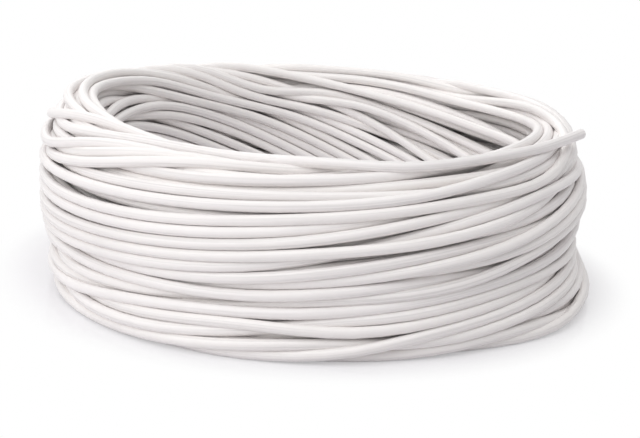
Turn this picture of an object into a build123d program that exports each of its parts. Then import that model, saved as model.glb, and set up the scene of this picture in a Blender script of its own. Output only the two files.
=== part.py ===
"""Loose round coil of white single-core electrical cable, lying flat, with its outer end free.

The coil is one closed solid of the outer shape of the pile of turns, and each turn on its outer wall
and crown stands out as a ridge. The outer end leaves the pile's crown along a straight tangent, and
its conductor runs through the insulation to the cut face. The inner end lies inside the pile.
+Z is up, and the origin is on the surface that the coil lies on, on the coil's axis.
"""

import math
import os

from build123d import *

# Cable, in millimetres: PVC insulation over a conductor of fine copper strands, 2.5 mm2.
cable_diameter = 3.6
conductor_diameter = 2.1

# Pile of turns. Nothing ties them, so the outer wall leans in towards the crown, is widest halfway up,
# draws in above the foot and spreads again where the lowest turns lie.
coil_outer_diameter = 204.0
coil_height = 62.0
pile_depth = 27.0
foot_width = 18.0
foot_swell_inset = 1.2
foot_swell_height = 7.0
waist_inset = 2.8
waist_height = 16.0
belly_height = 33.0
shoulder_inset = 7.5
shoulder_drop = 6.5
crown_inset = 12.5
crown_drop = 1.8
crown_width = 6.5
lip_drop = 5.0
foot_bevel = 3.0
ridge_height = 1.1

# Outer end: where it leaves the crown, the empty lane that it leaves, and its route from there as
# distances along the turn, outwards and up.
exit_angle = -40.0
exit_inset = 14.0
exit_drop = 3.6
lane_arc = 32.0
lane_clearance = 0.4
outer_end_route = [
    (0.0, 0.0, 0.0),
    (12.5, 0.0, 0.0),
    (25.5, -0.2, 0.5),
    (38.0, -0.6, 1.3),
]

# Share of its shorter run that each arc of the outer end takes up.
arc_share = 0.45

cable_radius = cable_diameter / 2
outer_radius = coil_outer_diameter / 2
inner_radius = outer_radius - pile_depth
foot_inner_radius = inner_radius + foot_bevel
foot_outer_radius = foot_inner_radius + foot_width
exit_radius = outer_radius - exit_inset
exit_height = coil_height - exit_drop
lane_room = cable_radius + lane_clearance


def radial_plane(angle: float) -> Plane:
    """Upright plane through the coil's axis, with x outwards and y up."""
    turn = math.radians(angle)
    return Plane(
        origin=(0, 0, 0),
        x_dir=(math.cos(turn), math.sin(turn), 0),
        z_dir=(math.sin(turn), -math.cos(turn), 0),
    )


def turn_ridges(wall: Edge) -> list[Vector]:
    """Valleys and crests of the turns that lie side by side along a wall line, one ridge each."""
    count = round(wall.length / cable_diameter)
    points = []
    for turn in range(count):
        middle = (turn + 0.5) / count
        outwards = wall.tangent_at(middle).rotate(Axis.Z, -90)
        points.append(wall.position_at(turn / count))
        points.append(wall.position_at(middle) + outwards * ridge_height)
    points.append(wall.position_at(1))
    return points


def corner_radii(route: list[Vector]) -> list[float]:
    """Radius of the arc at each inner point of a route, as large as its two runs allow."""
    radii = []
    for before, corner, after in zip(route, route[1:], route[2:]):
        run_in = corner - before
        run_out = after - corner
        half_turn = math.radians(run_in.get_angle(run_out)) / 2
        radii.append(arc_share * min(run_in.length, run_out.length) / math.tan(half_turn))
    return radii


# The pile of turns, revolved from its section.
with BuildPart() as coil:
    with BuildSketch(Plane.XZ):
        with BuildLine():
            wall_radius = outer_radius - ridge_height
            wall = Spline(
                (foot_outer_radius, 0),
                (wall_radius - foot_swell_inset, foot_swell_height),
                (wall_radius - waist_inset, waist_height),
                (wall_radius, belly_height),
                (wall_radius - shoulder_inset, coil_height - shoulder_drop),
                (outer_radius - crown_inset, coil_height - crown_drop),
                (outer_radius - crown_inset - crown_width, coil_height - crown_drop),
                mode=Mode.PRIVATE,
            )
            ridges = Polyline(*turn_ridges(wall))
            Polyline(
                ridges @ 1,
                (inner_radius, coil_height - lip_drop),
                (inner_radius, foot_bevel),
                (foot_inner_radius, 0),
                (foot_outer_radius, 0),
            )
        make_face()
    revolve(axis=Axis.Z)

    # The lane that the outer end has left starts at a flat wall, which the end's first face meets.
    with BuildSketch(radial_plane(exit_angle)):
        with Locations((exit_radius - lane_room, exit_height - lane_room)):
            Rectangle(pile_depth, coil_height, align=(Align.MIN, Align.MIN))
    revolve(axis=Axis.Z, revolution_arc=lane_arc, mode=Mode.SUBTRACT)

# The route of the outer end: straight runs joined by arcs as large as the runs allow.
exit_frame = radial_plane(exit_angle)
exit_point = exit_frame.x_dir * exit_radius + Vector(0, 0, exit_height)
route = [
    exit_point - exit_frame.z_dir * along + exit_frame.x_dir * outwards + Vector(0, 0, up)
    for along, outwards, up in outer_end_route
]
radii = corner_radii(route)
with BuildLine():
    outer_end_path = FilletPolyline(*route, radius=radii)
exit_face = Plane(origin=exit_point, z_dir=-exit_frame.z_dir)

with BuildPart() as outer_end_insulation:
    with BuildSketch(exit_face):
        Circle(cable_radius)
        Circle(conductor_diameter / 2, mode=Mode.SUBTRACT)
    sweep(path=outer_end_path)

with BuildPart() as outer_end_conductor:
    with BuildSketch(exit_face):
        Circle(conductor_diameter / 2)
    sweep(path=outer_end_path)

swept_volume = outer_end_insulation.part.volume + outer_end_conductor.part.volume
round_volume = math.pi * cable_radius**2 * outer_end_path.length
print(f"outer end: {outer_end_path.length:.1f} mm long")
print(f"outer end: radii of {[round(radius) for radius in radii]} mm at its corners")
print(f"outer end: {swept_volume:.2f} mm3, and {round_volume:.2f} as section by length")

os.makedirs("parts", exist_ok=True)
coil.part.label = "coil"
export_step(coil.part, "parts/coil.step")
outer_end_insulation.part.label = "outer_end_insulation"
export_step(outer_end_insulation.part, "parts/outer_end_insulation.step")
outer_end_conductor.part.label = "outer_end_conductor"
export_step(outer_end_conductor.part, "parts/outer_end_conductor.step")
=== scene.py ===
"""Loose round coil of white single-core electrical cable, lying flat on a pale floor.

The cable is one cord from its inner end, among the lowest turns, to its free outer end on the crown of
the pile. Its turns are laid one after another, and are then settled against each other, so that they
touch, cross and fan out as a coil does that nothing ties.
Sizes of the cable and of the pile are in millimetres. Meshes, materials and lamps are in metres, in the
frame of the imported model.
"""

from __future__ import annotations

import logging
import math
from collections.abc import Mapping, Sequence
from dataclasses import dataclass, field
from enum import Enum

import bpy
import numpy as np
from mathutils import Matrix, Vector


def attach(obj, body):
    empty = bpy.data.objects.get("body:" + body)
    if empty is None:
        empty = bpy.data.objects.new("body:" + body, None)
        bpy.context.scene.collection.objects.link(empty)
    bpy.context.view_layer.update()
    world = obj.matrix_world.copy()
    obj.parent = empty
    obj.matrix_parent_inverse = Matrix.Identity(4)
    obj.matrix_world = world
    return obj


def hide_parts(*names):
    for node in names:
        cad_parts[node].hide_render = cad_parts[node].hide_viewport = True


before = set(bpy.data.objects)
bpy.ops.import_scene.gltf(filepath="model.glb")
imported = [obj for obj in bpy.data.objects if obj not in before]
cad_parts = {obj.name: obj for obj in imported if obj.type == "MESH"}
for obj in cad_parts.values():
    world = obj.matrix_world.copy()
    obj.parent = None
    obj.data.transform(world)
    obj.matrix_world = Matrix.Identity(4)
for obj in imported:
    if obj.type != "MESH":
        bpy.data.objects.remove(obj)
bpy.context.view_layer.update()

MM = 0.001
FULL_TURN = 2 * math.pi
log = logging.getLogger("cable_coil")


# --- Small helpers ---


def to_linear(colour: str) -> tuple[float, float, float, float]:
    """Turn an sRGB hex colour into the linear values that shaders use.

    Args:
        colour: Six hex digits with a leading "#".

    Returns:
        Red, green, blue and an alpha of 1.
    """
    channels = []
    for start in (1, 3, 5):
        value = int(colour[start : start + 2], 16) / 255
        channels.append(value / 12.92 if value <= 0.04045 else ((value + 0.055) / 1.055) ** 2.4)
    return channels[0], channels[1], channels[2], 1.0


def add_node(
    tree: bpy.types.NodeTree,
    kind: str,
    settings: Mapping[str, object] | None = None,
    inputs: Mapping[int | str, object] | None = None,
) -> bpy.types.Node:
    """Add a node with its settings and inputs.

    Args:
        tree: The node tree that the node belongs to.
        kind: The node's type name.
        settings: Values of the node's own properties.
        inputs: Values or output sockets for its inputs, by name or number.

    Returns:
        The new node.
    """
    node = tree.nodes.new(kind)
    for name, value in (settings or {}).items():
        setattr(node, name, value)
    for key, value in (inputs or {}).items():
        if isinstance(value, bpy.types.NodeSocket):
            tree.links.new(value, node.inputs[key])
        else:
            node.inputs[key].default_value = value
    return node


def placed_in_scene(name: str, data: bpy.types.ID) -> bpy.types.Object:
    """Make an object at the origin and link it to the scene.

    Args:
        name: The object's name.
        data: Its mesh, curve, light or camera.

    Returns:
        The new object.
    """
    thing = bpy.data.objects.new(name, data)
    bpy.context.scene.collection.objects.link(thing)
    return thing


def smooth_step(share: np.ndarray) -> np.ndarray:
    """Rise smoothly from 0 to 1 as share goes from 0 to 1."""
    held = np.clip(share, 0.0, 1.0)
    return held * held * (3.0 - 2.0 * held)


# --- The cable and its route ---

# Points of the crown's half ellipse on the outline of the section.
CROWN_POINTS = 9
# How far ahead and behind the outline's direction is taken from, in millimetres.
OUTLINE_STEP = 1.5
# A zigzag from station to station has a bend of 16 times its size, so one smoothing takes it away.
ZIGZAG_BEND = 16
# Places that no turn reaches are put this far away, and this far from each other, in millimetres.
FAR_AWAY, FAR_APART = 1000.0, 50.0
# Two turns in one place are taken to be this far apart, so that nothing is divided by zero.
LEAST_DISTANCE = 1e-4
LEAST_LENGTH = 1e-9


@dataclass(frozen=True)
class Cable:
    """Single-core cable: PVC insulation over a conductor of fine copper strands, 2.5 mm2."""

    diameter: float = 3.6
    conductor: float = 2.1
    strands: int = 50
    strand_diameter: float = 0.25
    length: float = 50_000.0

    @property
    def radius(self) -> float:
        """Half the outside diameter."""
        return self.diameter / 2


@dataclass(frozen=True)
class FreeEnd:
    """Outer end of the cable, which leaves the crown of the pile along a tangent.

    The route gives distances along the turn, outwards and up from the exit.
    """

    angle: float = -40.0
    radius: float = 88.0
    height: float = 58.4
    route: tuple[tuple[float, float, float], ...] = (
        (0.0, 0.0, 0.0),
        (12.5, 0.0, 0.0),
        (25.5, -0.2, 0.5),
        (38.0, -0.6, 1.3),
    )

    def points(self) -> np.ndarray:
        """Places of the route's points.

        Returns:
            One row of x, y and z for each point.
        """
        turn = math.radians(self.angle)
        outwards = np.array([math.cos(turn), math.sin(turn), 0.0])
        along = np.array([-math.sin(turn), math.cos(turn), 0.0])
        upwards = np.array([0.0, 0.0, 1.0])
        start = outwards * self.radius + upwards * self.height
        return np.array([start + along * a + outwards * o + upwards * u for a, o, u in self.route])


class Layer(Enum):
    """How far inside the outline of the section the turns of a layer lie."""

    SKIN = 0.0
    BED = 3.4
    CORE = 8.0


@dataclass(frozen=True)
class Pass:
    """Turns laid one after another along a stretch of the section's outline.

    Start and end are shares of the way round the outline. Swing is how much of the outline's own drift
    the turns follow, and sway is half the rise of their own waves. Scatter is how far their order
    strays, in turns.
    """

    layer: Layer
    turns: int
    start: float
    end: float
    swing: float
    sway: float
    scatter: float


@dataclass(frozen=True)
class Drift:
    """How far the turns move along the outline on their way round, at one share of the outline.

    Peak is the direction in which they stand farthest along it.
    """

    share: float
    size: float
    peak: float


@dataclass(frozen=True)
class Profile:
    """Outline of the section in one direction, in degrees, through the middles of the turns in the skin.

    It runs from the outer foot up the outer wall, over the crown, which is half an ellipse, down the
    wall of the hole, round its foot and back along the floor. The wall has one distance from the axis
    for each level.
    """

    direction: float
    wall: tuple[float, ...]
    crown_radius: float
    crown_height: float
    hole_radius: float = 76.8
    hole_foot: float = 76.8
    hole_level: float = 30.0
    foot_level: float = 8.0
    bevel_level: float = 3.6
    bevel_inset: float = 0.8
    bevel_width: float = 3.2
    floor_middle: float = 88.0

    def outline(self, levels: Sequence[float]) -> np.ndarray:
        """Work out the outline.

        Args:
            levels: Heights of the wall's points, from the floor to the foot of the crown.

        Returns:
            One row of distance from the axis and height for each point.
        """
        turn = np.radians(np.linspace(0.0, 180.0, CROWN_POINTS))
        outer = self.wall[-1] - self.crown_radius
        inner = self.crown_radius - self.hole_radius
        across = self.crown_radius + np.where(turn <= FULL_TURN / 4, outer, inner) * np.cos(turn)
        upward = levels[-1] + (self.crown_height - levels[-1]) * np.sin(turn)
        wall = np.column_stack([self.wall[:-1], levels[:-1]])
        floor = levels[0]
        hole = [
            (self.hole_radius, self.hole_level),
            (self.hole_foot, self.foot_level),
            (self.hole_foot + self.bevel_inset, self.bevel_level),
            (self.hole_foot + self.bevel_width, floor),
            (self.floor_middle, floor),
            (self.wall[0], floor),
        ]
        return np.concatenate([wall, np.column_stack([across, upward]), hole])


@dataclass
class Winding:
    """Turns of the pile, worked out by laying and settling them.

    Stations are even steps round a turn. Each turn has a lane, which is its course all the way round
    the pile. The line passes from one lane to the next in the direction of change_angle, give or take
    change_scatter turns. On its last stretch it heads for the free end.
    """

    cable: Cable
    free_end: FreeEnd
    turns: int = 90
    stations: int = 72
    stations_per_point: int = 2
    seed: int = 19
    mean_radius: float = 88.0
    change_angle: float = 180.0
    change_scatter: float = 0.2
    change_length: float = 0.8
    heading_turns: float = 0.8
    heading_length: float = 0.7
    levels: tuple[float, ...] = (1.8, 4.8, 10.0, 17.0, 26.0, 34.0, 42.0, 49.0)
    profiles: tuple[Profile, ...] = (
        Profile(-110.0, (98.6, 100.8, 99.2, 97.2, 99.0, 100.1, 99.0, 96.8), 84.0, 59.6),
        Profile(-88.0, (97.0, 99.4, 98.4, 97.2, 99.0, 100.1, 99.0, 96.6), 84.0, 60.2),
        Profile(-60.0, (95.0, 97.6, 97.6, 97.0, 98.6, 99.8, 98.6, 96.2), 83.5, 62.2),
        Profile(-36.0, (101.0, 103.0, 99.6, 96.0, 96.6, 98.8, 98.0, 95.5), 83.0, 64.0),
        Profile(0.0, (98.5, 100.0, 97.2, 94.0, 94.4, 97.4, 96.6, 94.4), 83.6, 60.4, 75.8, 74.6),
        Profile(45.0, (98.0, 99.6, 98.0, 95.6, 96.4, 98.0, 97.0, 94.8), 84.0, 58.2),
        Profile(90.0, (97.0, 99.0, 98.4, 97.2, 98.4, 99.0, 97.5, 95.0), 84.0, 57.6),
        Profile(180.0, (93.5, 94.2, 94.4, 96.0, 98.4, 98.6, 99.0, 98.8), 86.0, 63.4),
    )
    drifts: tuple[Drift, ...] = (
        Drift(0.00, 3.0, 15.0),
        Drift(0.06, 5.0, 15.0),
        Drift(0.12, 12.0, 15.0),
        Drift(0.18, 16.0, 15.0),
        Drift(0.27, 15.0, 15.0),
        Drift(0.33, 10.0, 12.0),
        Drift(0.38, 8.0, 8.0),
        Drift(0.43, 11.0, 5.0),
        Drift(0.48, 21.0, 0.0),
        Drift(0.53, 29.0, -2.0),
        Drift(0.60, 33.0, -2.0),
        Drift(0.75, 34.0, -2.0),
        Drift(0.85, 24.0, 0.0),
        Drift(0.93, 8.0, 8.0),
        Drift(1.00, 3.0, 15.0),
    )
    passes: tuple[Pass, ...] = (
        Pass(Layer.SKIN, 15, 0.88, 0.53, 1.0, 0.8, 1.0),
        Pass(Layer.BED, 10, 0.53, 0.88, 0.3, 1.5, 2.5),
        Pass(Layer.CORE, 9, 0.9, 0.6, 0.3, 2.0, 2.0),
        Pass(Layer.CORE, 9, 0.3, 0.05, 0.6, 2.0, 2.0),
        Pass(Layer.BED, 21, -0.1, 0.5, 0.6, 1.5, 2.5),
        Pass(Layer.SKIN, 13, 0.51, -0.1, 1.0, 1.0, 0.8),
        Pass(Layer.SKIN, 14, -0.08, 0.39, 1.0, 1.0, 1.0),
    )
    # How much one turn's lane differs from the next one's: the spread of its drift's size, of the
    # direction of its peak in degrees, and of its own waves.
    drift_spread: tuple[float, float] = (0.9, 1.1)
    peak_scatter: float = 5.0
    loose_peak_scatter: float = 15.0
    wave_counts: tuple[int, ...] = (2, 3, 4)
    wave_spread: tuple[float, float] = (0.2, 1.0)
    # Settling: each round draws the turns a little towards their lanes, pushes those that overlap apart
    # and smooths them. The pull fades out over the first rounds, down to what holds the pile together.
    settle_rounds: int = 420
    first_pull: float = 0.03
    lasting_pull: float = 0.003
    fading_share: float = 0.6
    push_share: float = 0.35
    press_share: float = 0.5
    smoothings: int = 3
    rounds_per_slope: int = 20
    held_stations: int = 8
    hole_slack: float = 0.6
    # The settled pile leans backwards, and its back stands a little higher than its front.
    middle: float = 31.0
    lean: float = 5.5
    back_rise: float = 0.047
    # Worked out from the sizes above.
    route: np.ndarray = field(init=False)
    angles: np.ndarray = field(init=False)
    sections: np.ndarray = field(init=False)
    reached: np.ndarray = field(init=False)
    around: float = field(init=False)

    def __post_init__(self) -> None:
        """Work out what every step needs: the stations' angles and the outline at each of them."""
        self.route = self.stood_up(self.free_end.points())
        self.angles = self.route[0, 0] + FULL_TURN * np.arange(self.stations) / self.stations
        starts = np.array([profile.direction for profile in self.profiles])
        outlines = np.array([profile.outline(self.levels) for profile in self.profiles])
        past = (np.degrees(self.angles) - starts[0]) % 360
        steps = np.append(starts - starts[0], 360.0)
        number = np.searchsorted(steps, past, side="right") - 1
        share = smooth_step((past - steps[number]) / (steps[number + 1] - steps[number]))[:, None, None]
        self.sections = outlines[number] * (1 - share) + outlines[(number + 1) % len(starts)] * share
        lengths = np.linalg.norm(np.diff(self.sections, axis=1), axis=2)
        self.reached = np.concatenate([np.zeros((self.stations, 1)), np.cumsum(lengths, axis=1)], axis=1)
        self.around = float(self.reached[:, -1].mean())

    def on_outline(self, along: np.ndarray, inset: float) -> tuple[np.ndarray, np.ndarray]:
        """Find places on the closed outline of the section, or inside it.

        Args:
            along: Distance round the outline at each station, from the outer foot.
            inset: How far inside the outline, square to it.

        Returns:
            Distances from the axis, and heights.
        """
        here, ahead, behind = (
            np.array(
                [
                    [np.interp(place % length[-1], length, section[:, axis]) for axis in (0, 1)]
                    for place, length, section in zip(along + step, self.reached, self.sections, strict=True)
                ]
            ).T
            for step in (0.0, OUTLINE_STEP, -OUTLINE_STEP)
        )
        across = ahead - behind
        across /= np.maximum(np.hypot(*across), LEAST_LENGTH)
        return here[0] - inset * across[1], here[1] + inset * across[0]

    def hold_in(self, radius: np.ndarray, height: np.ndarray) -> None:
        """Press what stands out of the wall or the crown back by a share, and keep the hole open.

        Args:
            radius: Distances from the axis, changed in place.
            height: Heights, changed in place.
        """
        crown_start = len(self.levels) - 1
        crown_end = crown_start + CROWN_POINTS
        for station, section in enumerate(self.sections):
            out, up = radius[station :: self.stations], height[station :: self.stations]
            wall = section[: crown_start + CROWN_POINTS // 2 + 1]
            out -= self.press_share * np.maximum(out - np.interp(up, wall[:, 1], wall[:, 0]), 0.0)
            crown = section[crown_start:crown_end][::-1]
            up -= self.press_share * np.maximum(up - np.interp(out, crown[:, 0], crown[:, 1]), 0.0)
            hole = section[crown_end - 1 : crown_end + 2][::-1]
            np.maximum(out, np.interp(up, hole[:, 1], hole[:, 0]) - self.hole_slack, out=out)

    def lane(self, course: Pass, share: float, random: np.random.Generator) -> tuple[np.ndarray, np.ndarray]:
        """Work out the course of one turn, all the way round.

        Args:
            course: The pass that the turn belongs to.
            share: Where it lies on the outline, as a share of the way round.
            random: Source of its own waves.

        Returns:
            Distances from the axis and heights at the stations.
        """
        at, sizes, peaks = np.array([(drift.share, drift.size, drift.peak) for drift in self.drifts]).T
        size = float(np.interp(share % 1.0, at, sizes)) * course.swing * random.uniform(*self.drift_spread)
        scatter = self.peak_scatter + self.loose_peak_scatter * (1.0 - course.swing)
        peak = float(np.interp(share % 1.0, at, peaks)) + random.normal(0.0, scatter)
        along = share * self.around + size * np.cos(self.angles - math.radians(peak))
        for waves in self.wave_counts:
            sway = course.sway * random.uniform(*self.wave_spread) * 2 / waves
            along = along + sway * np.cos(waves * self.angles - random.uniform(0, FULL_TURN))
        return self.on_outline(along, course.layer.value)

    def lanes(self, random: np.random.Generator) -> tuple[np.ndarray, np.ndarray]:
        """Work out the course of every turn, in the order in which they are laid.

        Args:
            random: Source of each turn's place in the order and of its waves.

        Returns:
            Distances from the axis and heights, one row for each turn.
        """
        rows = []
        for course in self.passes:
            order = np.arange(course.turns) + random.uniform(-course.scatter, course.scatter, course.turns)
            shares = np.linspace(course.start, course.end, course.turns)[np.argsort(np.argsort(order))]
            rows += [self.lane(course, float(share), random) for share in shares]
        return np.array([row[0] for row in rows]), np.array([row[1] for row in rows])

    def laid(self) -> tuple[np.ndarray, np.ndarray]:
        """Join the lanes into one line, each turn passing smoothly on to the next.

        Returns:
            Distances from the axis and heights at every station of the line.
        """
        random = np.random.default_rng(self.seed)
        lane_radius, lane_height = self.lanes(random)
        turn = np.arange(self.turns * self.stations + 1) / self.stations
        station = np.arange(len(turn)) % self.stations
        usual = (self.change_angle - math.degrees(self.angles[0])) / 360 - 0.5
        strays = random.normal(usual, self.change_scatter, len(lane_radius) - 1)
        changes = np.sort(np.arange(1, len(lane_radius)) + strays)
        radius, height, before = np.zeros(len(turn)), np.zeros(len(turn)), np.ones(len(turn))
        for number in range(len(lane_radius)):
            after = np.zeros(len(turn))
            if number < len(changes):
                after = smooth_step((turn - changes[number]) / self.change_length + 0.5)
            radius += (before - after) * lane_radius[number][station]
            height += (before - after) * lane_height[number][station]
            before = after
        heading = smooth_step((turn - (self.turns - self.heading_turns)) / self.heading_length)
        radius += heading * (self.route[0, 1] - radius)
        height += heading * (self.route[0, 2] - height)
        return radius, height

    def side_by_side(self, radius: np.ndarray, height: np.ndarray) -> tuple[np.ndarray, np.ndarray]:
        """Lay out the line in rows of one turn each, with the free end behind it.

        Args:
            radius: Distances from the axis along the line.
            height: Heights along the line.

        Returns:
            Distances and heights, one row for each turn and one column for each station. Places past
            the free end lie far from everything.
        """
        rows = self.turns + 2
        free_end = self.free_end_stations()
        end = len(radius) + len(free_end)
        grid = np.zeros((2, rows * self.stations))
        grid[:, : len(radius)] = radius, height
        grid[:, len(radius) : end] = free_end.T
        nowhere = np.repeat(FAR_AWAY + FAR_APART * np.arange(rows), self.stations)
        grid[0, end:] = nowhere[end:]
        radii, heights = grid.astype(np.float32).reshape(2, rows, self.stations)
        return radii, heights

    def squareness(self, height: np.ndarray) -> np.ndarray:
        """Work out how far the line is from climbing, which turns an upright gap into a square one.

        Args:
            height: Heights along the line.

        Returns:
            The cosine of the slope, one row for each turn and one column for each station.
        """
        arc = FULL_TURN * self.mean_radius / self.stations
        level = np.ones((self.turns + 2) * self.stations, np.float32)
        level[: len(height)] = 1 / np.hypot(1.0, np.gradient(height) / arc)
        return level.reshape(-1, self.stations)

    def push_apart(
        self, radius: np.ndarray, height: np.ndarray, level: np.ndarray, held: np.ndarray
    ) -> np.ndarray:
        """Push the turns that overlap apart by a share of their overlap.

        Args:
            radius: Distances from the axis along the line, changed in place.
            height: Heights along the line, changed in place.
            level: The cosine of the slope, in rows of one turn each.
            held: Which places of the line stay where they are.

        Returns:
            Distance between the middles of each pair that overlapped. Each pair counts twice.
        """
        radii, heights = self.side_by_side(radius, height)
        across = radii[:, None] - radii[None]
        upward = (heights[:, None] - heights[None]) * (level[:, None] + level[None]) / 2
        squared = across * across + upward * upward
        near = squared < self.cable.diameter**2
        itself = np.arange(len(radii))
        near[itself, itself] = False
        one, other, station = np.nonzero(near)
        distance = np.sqrt(squared[one, other, station]) + LEAST_DISTANCE
        push = self.push_share * (self.cable.diameter - distance) / distance
        place = one * self.stations + station
        for line, step in ((radius, across), (height, upward)):
            moved = np.bincount(place, push * step[one, other, station], radii.size)[: len(line)]
            moved[held] = 0.0
            line += moved
        return distance

    def settled(self) -> tuple[np.ndarray, np.ndarray]:
        """Push the laid turns apart until they only touch, and let their own stiffness smooth them.

        Returns:
            Distances from the axis and heights at every station of the line.
        """
        radius, height = self.laid()
        wanted_radius, wanted_height = radius.copy(), height.copy()
        held = np.arange(len(radius)) > len(radius) - self.held_stations
        for number in range(self.settle_rounds):
            fading = max(0.0, 1.0 - number / (self.fading_share * self.settle_rounds))
            pull = self.lasting_pull + self.first_pull * fading
            radius += pull * (wanted_radius - radius)
            height += pull * (wanted_height - height)
            if number % self.rounds_per_slope == 0:
                level = self.squareness(height)
            distance = self.push_apart(radius, height, level, held)
            np.maximum(height, self.cable.radius, out=height)
            self.hold_in(radius, height)
            for line in (radius, height) * self.smoothings:
                ends = np.pad(line, 2, mode="reflect", reflect_type="odd")
                bend = ends[:-4] - 4 * ends[1:-3] + 6 * ends[2:-2] - 4 * ends[3:-1] + ends[4:]
                bend[held] = 0.0
                line -= bend / ZIGZAG_BEND
        overlap = (self.cable.diameter - distance).mean()
        log.info("turns settled: %d touches, mean overlap %.2f mm", len(distance) // 2, overlap)
        return radius, height

    def free_end_stations(self) -> np.ndarray:
        """Find where the free end passes the stations after the exit, so that the turns leave it room.

        Returns:
            One row of distance from the axis and height for each station passed.
        """
        past = self.route[:, 0] - self.route[0, 0]
        passed = int(past[-1] / FULL_TURN * self.stations)
        steps = np.arange(1, passed + 1) * FULL_TURN / self.stations
        return np.array([np.interp(steps, past, self.route[:, axis]) for axis in (1, 2)]).T

    def leaned(self, places: np.ndarray) -> np.ndarray:
        """Lean the upright pile backwards, and stretch its back upwards and press its front down.

        Args:
            places: One row of angle, distance from the axis and height for each point.

        Returns:
            One row of x, y and z for each point.
        """
        angle, radius, height = places.T
        level = (height - self.middle) / self.middle
        x = radius * np.cos(angle)
        y = radius * np.sin(angle) + self.lean * level
        upright = np.maximum(height * (1 + self.back_rise * np.sin(angle)), self.cable.radius)
        return np.stack([x, y, upright], axis=1)

    def stood_up(self, points: np.ndarray) -> np.ndarray:
        """Undo the lean, so that the free end's places can be met by the upright pile.

        Args:
            points: One row of x, y and z for each point.

        Returns:
            One row of angle, distance from the axis and height for each point.
        """
        x, y, z = points.T
        height = z.copy()
        # The height and the lean depend on each other, and a few rounds bring them together.
        for _ in range(4):
            back = y - self.lean * (height - self.middle) / self.middle
            height = z / (1 + self.back_rise * np.sin(np.arctan2(back, x)))
        return np.stack([np.arctan2(back, x), np.hypot(x, back), height], axis=1)

    def points(self) -> np.ndarray:
        """Work out the control points of the whole cable, from the inner end to the free end.

        Returns:
            One row of x, y and z for each point, in millimetres.
        """
        radius, height = self.settled()
        turn = np.arange(len(radius)) / self.stations
        angle = self.angles[0] + FULL_TURN * (turn - self.turns)
        # A spline of order 3 runs a little inside its control points, so the points stand out by as much.
        step = self.stations_per_point * FULL_TURN / self.stations
        radius = radius / (0.75 + 0.25 * math.cos(step))
        coil = self.leaned(np.stack([angle, radius, height], axis=1))
        # The last stations give way to the free end's own first point.
        turned = coil[: -self.stations_per_point - 1 : self.stations_per_point]
        return np.concatenate([turned, self.free_end.points()])


# --- Materials ---


def seen_plainly(tree: bpy.types.NodeTree) -> bpy.types.NodeSocket:
    """Tell the rays of the view, and those mirrored or let through on their way to it, from the light's.

    Args:
        tree: The node tree of a material or a world.

    Returns:
        A socket that is 1 for such rays and 0 for the others.
    """
    path = add_node(tree, "ShaderNodeLightPath")
    seen = path.outputs["Is Camera Ray"]
    for kind in ("Is Glossy Ray", "Is Transmission Ray"):
        either = add_node(tree, "ShaderNodeMath", {"operation": "MAXIMUM"}, {0: seen, 1: path.outputs[kind]})
        seen = either.outputs[0]
    return seen


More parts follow.
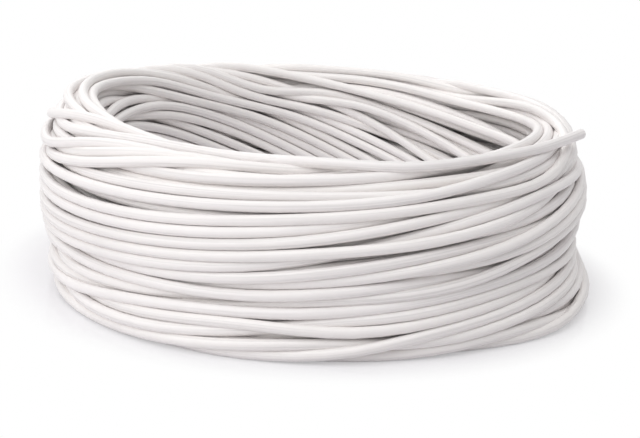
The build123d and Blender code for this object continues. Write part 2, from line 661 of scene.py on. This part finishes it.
@dataclass(frozen=True)
class WhitePvc:
    """Plasticised PVC, extruded over the conductor.

    The die leaves it smooth and satin, with faint draw lines along it, and dust stays in the lines. The
    compound's white drifts a little from batch to batch along the run, and handling leaves soft clouds
    on it.
    """

    cool: str = "#F4F0F0"
    warm: str = "#F5F1EE"
    handled: str = "#D9D5D4"
    gloss: tuple[float, float] = (0.33, 0.45)
    ior: float = 1.53
    drift_length: float = 0.75
    cloud_size: float = 22.0 * MM
    # Noise at which the clouds and the dust begin and at which they are full, and how much they then show.
    clouds_seen: tuple[float, float, float] = (0.48, 0.75, 0.2)
    dust_seen: tuple[float, float, float] = (0.5, 0.3, 0.6)
    # Real draw lines are under 0.1 mm wide, too fine to show, so these are drawn wider.
    line_width: float = 0.7 * MM
    line_length: float = 80.0 * MM
    line_depth: float = 0.02 * MM
    line_range: tuple[float, float] = (0.3, 0.7)

    def make(self) -> bpy.types.Material:
        """Build the material.

        Returns:
            The finished material.
        """
        material = bpy.data.materials.new("white_extruded_pvc")
        material.use_nodes = True
        tree = material.node_tree
        tree.nodes.clear()
        place = add_node(tree, "ShaderNodeTexCoord").outputs["Object"]
        surface = add_node(tree, "ShaderNodeAttribute", {"attribute_name": "surface"}).outputs["Vector"]
        run = add_node(tree, "ShaderNodeSeparateXYZ", {}, {0: surface}).outputs["Z"]
        drift = add_node(
            tree, "ShaderNodeTexNoise", {"noise_dimensions": "1D"}, {"W": run, "Scale": 1 / self.drift_length}
        )
        base = add_node(
            tree,
            "ShaderNodeMix",
            {"data_type": "RGBA"},
            {0: drift.outputs["Fac"], 6: to_linear(self.cool), 7: to_linear(self.warm)},
        )
        clouds = add_node(
            tree, "ShaderNodeTexNoise", {}, {"Vector": place, "Scale": 1 / self.cloud_size, "Detail": 3.0}
        )
        stretched = add_node(
            tree,
            "ShaderNodeVectorMath",
            {"operation": "DIVIDE"},
            {0: surface, 1: (self.line_width, self.line_width, self.line_length)},
        )
        lines = add_node(
            tree, "ShaderNodeTexNoise", {}, {"Vector": stretched.outputs[0], "Scale": 1.0, "Detail": 2.0}
        )
        cloud, grain = clouds.outputs["Fac"], lines.outputs["Fac"]
        touched, dusty = (
            add_node(tree, "ShaderNodeMapRange", {}, {0: noise, 1: begin, 2: full, 4: share}).outputs[0]
            for noise, (begin, full, share) in ((cloud, self.clouds_seen), (grain, self.dust_seen))
        )
        marks = add_node(tree, "ShaderNodeMath", {"operation": "MAXIMUM"}, {0: touched, 1: dusty})
        tint = add_node(
            tree,
            "ShaderNodeMix",
            {"data_type": "RGBA"},
            {0: marks.outputs[0], 6: base.outputs[2], 7: to_linear(self.handled)},
        )
        (low, high), (smooth, dull) = self.line_range, self.gloss
        rough = add_node(tree, "ShaderNodeMapRange", {}, {0: grain, 1: low, 2: high, 3: smooth, 4: dull})
        bump = add_node(tree, "ShaderNodeBump", {}, {"Distance": self.line_depth, "Height": grain})
        looks = {"Base Color": tint.outputs[2], "Roughness": rough.outputs[0], "Normal": bump.outputs[0]}
        shader = add_node(tree, "ShaderNodeBsdfPrincipled", {}, {"IOR": self.ior, **looks})
        add_node(tree, "ShaderNodeOutputMaterial", {}, {"Surface": shader.outputs[0]})
        return material


@dataclass(frozen=True)
class BareCopper:
    """Soft copper, drawn through a die and cut.

    It is bright and reddish, with fine scratches from the cutters and browner patches where the air
    has dulled it.
    """

    bright: str = "#D99067"
    dulled: str = "#A8653F"
    gloss: tuple[float, float] = (0.25, 0.45)
    patch_size: float = 0.5 * MM
    # The cutters' scratches are some 0.01 mm wide, so these are drawn wider.
    scratch_width: float = 0.05 * MM
    scratch_depth: float = 0.004 * MM

    def make(self) -> bpy.types.Material:
        """Build the material.

        Returns:
            The finished material.
        """
        material = bpy.data.materials.new("drawn_bare_copper")
        material.use_nodes = True
        tree = material.node_tree
        tree.nodes.clear()
        place = add_node(tree, "ShaderNodeTexCoord").outputs["Object"]
        noise = add_node(
            tree, "ShaderNodeTexNoise", {}, {"Vector": place, "Scale": 1 / self.patch_size, "Detail": 2.0}
        )
        patches = noise.outputs["Fac"]
        tint = add_node(
            tree,
            "ShaderNodeMix",
            {"data_type": "RGBA"},
            {0: patches, 6: to_linear(self.bright), 7: to_linear(self.dulled)},
        )
        rough = add_node(tree, "ShaderNodeMapRange", {}, {0: patches, 3: self.gloss[0], 4: self.gloss[1]})
        depth, scale = self.scratch_depth, 1 / self.scratch_width
        scratches = add_node(tree, "ShaderNodeTexNoise", {}, {"Vector": place, "Scale": scale})
        bump = add_node(tree, "ShaderNodeBump", {}, {"Distance": depth, "Height": scratches.outputs["Fac"]})
        looks = {"Base Color": tint.outputs[2], "Roughness": rough.outputs[0], "Normal": bump.outputs[0]}
        shader = add_node(tree, "ShaderNodeBsdfPrincipled", {}, {"Metallic": 1.0, **looks})
        add_node(tree, "ShaderNodeOutputMaterial", {}, {"Surface": shader.outputs[0]})
        return material


@dataclass(frozen=True)
class WhiteAcrylic:
    """Polished white acrylic board under the coil, which mirrors it faintly.

    Near and far are distances from the coil's axis in metres. Between them the board turns from its
    own look, with near_share of plain white in it, to plain white.
    """

    colour: str = "#E8E6EA"
    roughness: float = 0.1
    near: float = 0.1
    far: float = 0.12
    near_share: float = 0.35

    def make(self) -> bpy.types.Material:
        """Build the material, which shows plain white away from the coil.

        Returns:
            The finished material.
        """
        material = bpy.data.materials.new("white_acrylic_board")
        material.use_nodes = True
        tree = material.node_tree
        tree.nodes.clear()
        board = add_node(
            tree,
            "ShaderNodeBsdfPrincipled",
            {},
            {"Base Color": to_linear(self.colour), "Roughness": self.roughness},
        )
        white = add_node(tree, "ShaderNodeEmission")
        place = add_node(tree, "ShaderNodeTexCoord").outputs["Object"]
        reach = add_node(tree, "ShaderNodeVectorMath", {"operation": "LENGTH"}, {0: place})
        away = add_node(
            tree,
            "ShaderNodeMapRange",
            {"interpolation_type": "SMOOTHSTEP"},
            {0: reach.outputs["Value"], 1: self.near, 2: self.far, 3: self.near_share, 4: 1.0},
        )
        share = add_node(
            tree, "ShaderNodeMath", {"operation": "MULTIPLY"}, {0: seen_plainly(tree), 1: away.outputs[0]}
        )
        mixed = add_node(
            tree, "ShaderNodeMixShader", {}, {0: share.outputs[0], 1: board.outputs[0], 2: white.outputs[0]}
        )
        add_node(tree, "ShaderNodeOutputMaterial", {}, {"Surface": mixed.outputs[0]})
        return material


# --- Shapes from Geometry Nodes ---

# Edges that turn by more than this angle, in degrees, stay sharp.
SHARP_ANGLE = 50.0


def start_tree(
    name: str, sizes: Mapping[str, float | int | Vector]
) -> tuple[bpy.types.NodeTree, bpy.types.bpy_prop_collection]:
    """Start a Geometry Nodes tree that takes a geometry, named sizes and a material.

    Args:
        name: The tree's name.
        sizes: The named sizes and their usual values.

    Returns:
        The tree and the sockets that give its inputs.
    """
    tree = bpy.data.node_groups.new(name, "GeometryNodeTree")
    tree.interface.new_socket("Geometry", in_out="INPUT", socket_type="NodeSocketGeometry")
    kinds = {int: "NodeSocketInt", float: "NodeSocketFloat", Vector: "NodeSocketVector"}
    for label, value in sizes.items():
        socket = tree.interface.new_socket(label, in_out="INPUT", socket_type=kinds[type(value)])
        socket.default_value = value
    tree.interface.new_socket("Material", in_out="INPUT", socket_type="NodeSocketMaterial")
    tree.interface.new_socket("Geometry", in_out="OUTPUT", socket_type="NodeSocketGeometry")
    return tree, tree.nodes.new("NodeGroupInput").outputs


def finish_tree(
    tree: bpy.types.NodeTree, given: bpy.types.bpy_prop_collection, geometry: bpy.types.NodeSocket
) -> None:
    """Close a Geometry Nodes tree: realise its instances and set the material.

    Args:
        tree: The tree.
        given: The sockets that give its inputs.
        geometry: The socket that gives the shape.
    """
    real = add_node(tree, "GeometryNodeRealizeInstances", {}, {0: geometry})
    dressed = add_node(
        tree, "GeometryNodeSetMaterial", {}, {"Geometry": real.outputs[0], "Material": given["Material"]}
    )
    add_node(tree, "NodeGroupOutput", {}, {0: dressed.outputs[0]})


def made_piece(
    name: str, source: bpy.types.ID, tree: bpy.types.NodeTree, values: Mapping[str, object]
) -> bpy.types.Object:
    """Run a Geometry Nodes tree and keep what it makes as a plain mesh.

    Args:
        name: The piece's name.
        source: The curve or mesh that the tree starts from.
        tree: The tree.
        values: Its material and the sizes that aren't the usual ones, by name.

    Returns:
        The piece, at the origin.
    """
    holder = placed_in_scene(name + "_source", source)
    modifier = holder.modifiers.new("shape", "NODES")
    modifier.node_group = tree
    for socket in tree.interface.items_tree:
        if socket.in_out == "INPUT" and socket.name in values:
            modifier[socket.identifier] = values[socket.name]
    depsgraph = bpy.context.evaluated_depsgraph_get()
    mesh = bpy.data.meshes.new_from_object(
        holder.evaluated_get(depsgraph), preserve_all_data_layers=True, depsgraph=depsgraph
    )
    bpy.data.objects.remove(holder)
    mesh.name = name
    mesh.set_sharp_from_angle(angle=math.radians(SHARP_ANGLE))
    return placed_in_scene(name, mesh)


# --- The cord ---


@dataclass
class CutEnd:
    """Fine copper strands of the conductor, where the cable is cut off square.

    Place and direction are those of the cut, in metres. Each strand stands proud of it by a length
    between proud and uneven.
    """

    cable: Cable
    name: str
    place: Vector
    direction: Vector
    depth: float = 3.0
    proud: float = 0.12
    uneven: float = 0.2
    sides: int = 10
    seed: int = 4

    def tree(self) -> bpy.types.NodeTree:
        """Build the tree: strands packed as seeds are in a flower head, from the middle outwards.

        Returns:
            The finished tree.
        """
        tree, given = start_tree(
            self.name,
            {
                "Strands": self.cable.strands,
                "Strand Diameter": self.cable.strand_diameter * MM,
                "Conductor Diameter": self.cable.conductor * MM,
                "Depth": self.depth * MM,
                "Proud": self.proud * MM,
                "Uneven": self.uneven * MM,
                "Sides": self.sides,
                "Seed": self.seed,
                "Place": self.place,
                "Direction": self.direction,
            },
        )
        strand, core, half = (
            add_node(tree, "ShaderNodeMath", {"operation": "MULTIPLY"}, {0: given[size], 1: 0.5}).outputs[0]
            for size in ("Strand Diameter", "Conductor Diameter", "Depth")
        )
        reach = add_node(tree, "ShaderNodeMath", {"operation": "SUBTRACT"}, {0: core, 1: strand})
        number = add_node(tree, "GeometryNodeInputIndex")
        # The area grows evenly from strand to strand, so the distance grows with its root.
        out = number
        steps = ("ADD", 0.5), ("DIVIDE", given["Strands"]), ("SQRT", 0.0), ("MULTIPLY", reach.outputs[0])
        for operation, value in steps:
            out = add_node(tree, "ShaderNodeMath", {"operation": operation}, {0: out.outputs[0], 1: value})
        golden = math.pi * (3 - math.sqrt(5))
        turn = add_node(tree, "ShaderNodeMath", {"operation": "MULTIPLY"}, {0: number.outputs[0], 1: golden})
        spot = add_node(tree, "ShaderNodeCombineXYZ", {}, {"X": out.outputs[0]})
        spot = add_node(
            tree,
            "ShaderNodeVectorRotate",
            {"rotation_type": "Z_AXIS"},
            {"Vector": spot.outputs[0], "Angle": turn.outputs[0]},
        )
        proud = add_node(
            tree,
            "FunctionNodeRandomValue",
            {"data_type": "FLOAT"},
            {2: given["Proud"], 3: given["Uneven"], "Seed": given["Seed"]},
        )
        level = add_node(tree, "ShaderNodeMath", {"operation": "SUBTRACT"}, {0: proud.outputs[1], 1: half})
        lift = add_node(tree, "ShaderNodeCombineXYZ", {}, {"Z": level.outputs[0]})
        spot = add_node(
            tree, "ShaderNodeVectorMath", {"operation": "ADD"}, {0: spot.outputs[0], 1: lift.outputs[0]}
        )
        points = add_node(
            tree, "GeometryNodePoints", {}, {"Count": given["Strands"], "Position": spot.outputs[0]}
        )
        rod = add_node(
            tree,
            "GeometryNodeMeshCylinder",
            {},
            {"Vertices": given["Sides"], "Radius": strand, "Depth": given["Depth"]},
        )
        rods = add_node(
            tree,
            "GeometryNodeInstanceOnPoints",
            {},
            {"Points": points.outputs[0], "Instance": rod.outputs["Mesh"]},
        )
        towards = add_node(
            tree, "FunctionNodeAlignRotationToVector", {"axis": "Z"}, {"Vector": given["Direction"]}
        )
        placed = add_node(
            tree,
            "GeometryNodeTransform",
            {},
            {"Geometry": rods.outputs[0], "Translation": given["Place"], "Rotation": towards.outputs[0]},
        )
        finish_tree(tree, given, placed.outputs[0])
        return tree

    def build(self, copper: bpy.types.Material) -> bpy.types.Object:
        """Make the strands.

        Args:
            copper: Their material.

        Returns:
            The finished piece.
        """
        strands = made_piece(self.name, bpy.data.meshes.new(self.name), self.tree(), {"Material": copper})
        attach(strands, "root")
        return strands


@dataclass
class CableCoil:
    """The whole cable as one cord, with the strands of its conductor at both cut ends."""

    cable: Cable = field(default_factory=Cable)
    free_end: FreeEnd = field(default_factory=FreeEnd)
    rings_per_point: int = 2
    sides: int = 14

    def line(self, points: np.ndarray) -> bpy.types.Curve:
        """Build the smooth line down the middle of the cable.

        Args:
            points: Its control points, in metres.

        Returns:
            A curve of one open spline.
        """
        curve = bpy.data.curves.new("cable_line", "CURVE")
        curve.dimensions = "3D"
        spline = curve.splines.new("NURBS")
        spline.points.add(len(points) - 1)
        spline.points.foreach_set("co", np.column_stack([points, np.ones(len(points))]).ravel())
        spline.order_u = 3
        spline.use_endpoint_u = True
        curve.resolution_u = self.rings_per_point
        return curve

    def tree(self) -> bpy.types.NodeTree:
        """Build the tree that draws the insulation along the line.

        Each point of the surface keeps its place on the ring and its distance along the cable.

        Returns:
            The finished tree.
        """
        tree, given = start_tree("cable_tube", {"Diameter": self.cable.diameter * MM, "Sides": self.sides})
        line = add_node(tree, "GeometryNodeResampleCurve", {"mode": "EVALUATED"}, {0: given["Geometry"]})
        run = add_node(tree, "GeometryNodeSplineParameter")
        line = add_node(
            tree,
            "GeometryNodeStoreNamedAttribute",
            {"data_type": "FLOAT"},
            {"Geometry": line.outputs[0], "Name": "run", "Value": run.outputs["Length"]},
        )
        radius = add_node(tree, "ShaderNodeMath", {"operation": "MULTIPLY"}, {0: given["Diameter"], 1: 0.5})
        ring = add_node(
            tree,
            "GeometryNodeCurvePrimitiveCircle",
            {"mode": "RADIUS"},
            {"Resolution": given["Sides"], "Radius": radius.outputs[0]},
        )
        spot = add_node(tree, "GeometryNodeInputPosition")
        ring = add_node(
            tree,
            "GeometryNodeStoreNamedAttribute",
            {"data_type": "FLOAT_VECTOR"},
            {"Geometry": ring.outputs[0], "Name": "ring", "Value": spot.outputs[0]},
        )
        tube = add_node(
            tree,
            "GeometryNodeCurveToMesh",
            {},
            {"Curve": line.outputs[0], "Profile Curve": ring.outputs[0], "Fill Caps": True},
        )
        run = add_node(tree, "GeometryNodeInputNamedAttribute", {"data_type": "FLOAT"}, {"Name": "run"})
        ring = add_node(
            tree, "GeometryNodeInputNamedAttribute", {"data_type": "FLOAT_VECTOR"}, {"Name": "ring"}
        )
        ring = add_node(tree, "ShaderNodeSeparateXYZ", {}, {0: ring.outputs["Attribute"]})
        surface = add_node(
            tree,
            "ShaderNodeCombineXYZ",
            {},
            {"X": ring.outputs["X"], "Y": ring.outputs["Y"], "Z": run.outputs["Attribute"]},
        )
        tube = add_node(
            tree,
            "GeometryNodeStoreNamedAttribute",
            {"data_type": "FLOAT_VECTOR"},
            {"Geometry": tube.outputs[0], "Name": "surface", "Value": surface.outputs[0]},
        )
        smooth = add_node(tree, "GeometryNodeSetShadeSmooth", {}, {"Geometry": tube.outputs[0]})
        finish_tree(tree, given, smooth.outputs[0])
        return tree

    def centres(self, line: bpy.types.Curve) -> list[tuple[float, float, float]]:
        """Read the middles of the tube's rings from the smooth line.

        Args:
            line: The line.

        Returns:
            The points in order, in metres.
        """
        holder = bpy.data.objects.new("cable_line", line)
        wire = bpy.data.meshes.new_from_object(holder)
        places = [tuple(point.co) for point in wire.vertices]
        bpy.data.meshes.remove(wire)
        bpy.data.objects.remove(holder)
        return places

    def build(self) -> list[bpy.types.Object]:
        """Returns:
            The finished pieces, the cord first.
        """
        points = Winding(self.cable, self.free_end).points() * MM
        line = self.line(points)
        path = self.centres(line)
        cord = made_piece("cable", line, self.tree(), {"Material": WhitePvc().make()})
        copper = BareCopper().make()
        ends = []
        for name, cut, before in (("inner_end_strands", 0, 1), ("outer_end_strands", -1, -2)):
            place = Vector(points[cut])
            direction = (place - Vector(points[before])).normalized()
            ends.append(CutEnd(self.cable, name, place, direction).build(copper))
        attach(cord, "root")
        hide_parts("coil", "outer_end_insulation")
        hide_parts("outer_end_conductor")
        return [cord, *ends]


# --- Floor, light and camera ---


@dataclass(frozen=True)
class Lamp:
    """Square soft lamp that points at the coil: where it hangs and its side in metres, and its watts."""

    name: str
    place: tuple[float, float, float]
    side: float
    power: float

    def hang(self, target: Vector) -> None:
        """Hang the lamp.

        Args:
            target: The point that it faces.
        """
        data = bpy.data.lights.new(self.name, "AREA")
        data.size = self.side
        data.energy = self.power
        place = Vector(self.place)
        turn = (target - place).to_track_quat("-Z", "Y")
        lamp = placed_in_scene(self.name, data)
        lamp.matrix_world = Matrix.Translation(place) @ turn.to_matrix().to_4x4()


@dataclass
class Studio:
    """Plain glossy white floor, soft light and the camera.

    Lengths are in millimetres and angles in degrees. The lamps face the coil's axis at the height of
    target.
    """

    distance: float = 478.0
    eye_height: float = 148.0
    look_down: float = 15.26
    look_right: float = 0.285
    roll: float = 2.6
    lens: float = 74.4
    sensor_width: float = 36.0
    floor_side: float = 8000.0
    target: float = 30.0
    fill: float = 0.45
    lamps: tuple[Lamp, ...] = (
        Lamp("key", (-1.2, -0.75, 0.42), 1.2, 2.4),
        Lamp("front", (-0.9, -0.75, 0.8), 1.2, 5.9),
        Lamp("top", (0.0, -0.4, 1.3), 1.2, 6.6),
        Lamp("back", (-0.4, 0.9, 1.0), 1.0, 3.8),
    )

    def camera(self) -> None:
        """Place the camera and make it the scene's own."""
        data = bpy.data.cameras.new("camera")
        data.lens = self.lens
        data.sensor_width = self.sensor_width
        camera = placed_in_scene("camera", data)
        camera.matrix_world = (
            Matrix.Translation((0.0, -self.distance * MM, self.eye_height * MM))
            @ Matrix.Rotation(math.radians(-self.look_right), 4, "Z")
            @ Matrix.Rotation(math.radians(90.0 - self.look_down), 4, "X")
            @ Matrix.Rotation(math.radians(self.roll), 4, "Z")
        )
        bpy.context.scene.camera = camera

    def floor(self) -> None:
        """Lay the floor."""
        mesh = bpy.data.meshes.new("floor")
        reach = self.floor_side * MM / 2
        corners = [(-reach, -reach, 0), (reach, -reach, 0), (reach, reach, 0), (-reach, reach, 0)]
        mesh.from_pydata(corners, [], [(0, 1, 2, 3)])
        mesh.materials.append(WhiteAcrylic().make())
        floor = placed_in_scene("floor", mesh)

    def room(self) -> None:
        """Light the room evenly, and show white behind it."""
        world = bpy.data.worlds.new("room")
        world.use_nodes = True
        tree = world.node_tree
        tree.nodes.clear()
        strength = add_node(tree, "ShaderNodeMapRange", {}, {0: seen_plainly(tree), 3: self.fill, 4: 1.0})
        back = add_node(tree, "ShaderNodeBackground", {}, {0: (1.0, 1.0, 1.0, 1.0), 1: strength.outputs[0]})
        add_node(tree, "ShaderNodeOutputWorld", {}, {0: back.outputs[0]})
        bpy.context.scene.world = world

    def build(self) -> None:
        """Set up the whole studio."""
        bpy.context.scene.view_settings.view_transform = "Standard"
        self.camera()
        self.floor()
        for lamp in self.lamps:
            lamp.hang(Vector((0.0, 0.0, self.target * MM)))
        self.room()


def main() -> None:
    """Build the studio and the cable, and report each piece."""
    logging.basicConfig(level=logging.INFO, format="%(name)s: %(message)s")
    Studio().build()
    for piece in CableCoil().build():
        log.info("%s built: %d faces", piece.name, len(piece.data.polygons))


if __name__ == "__main__":
    main()
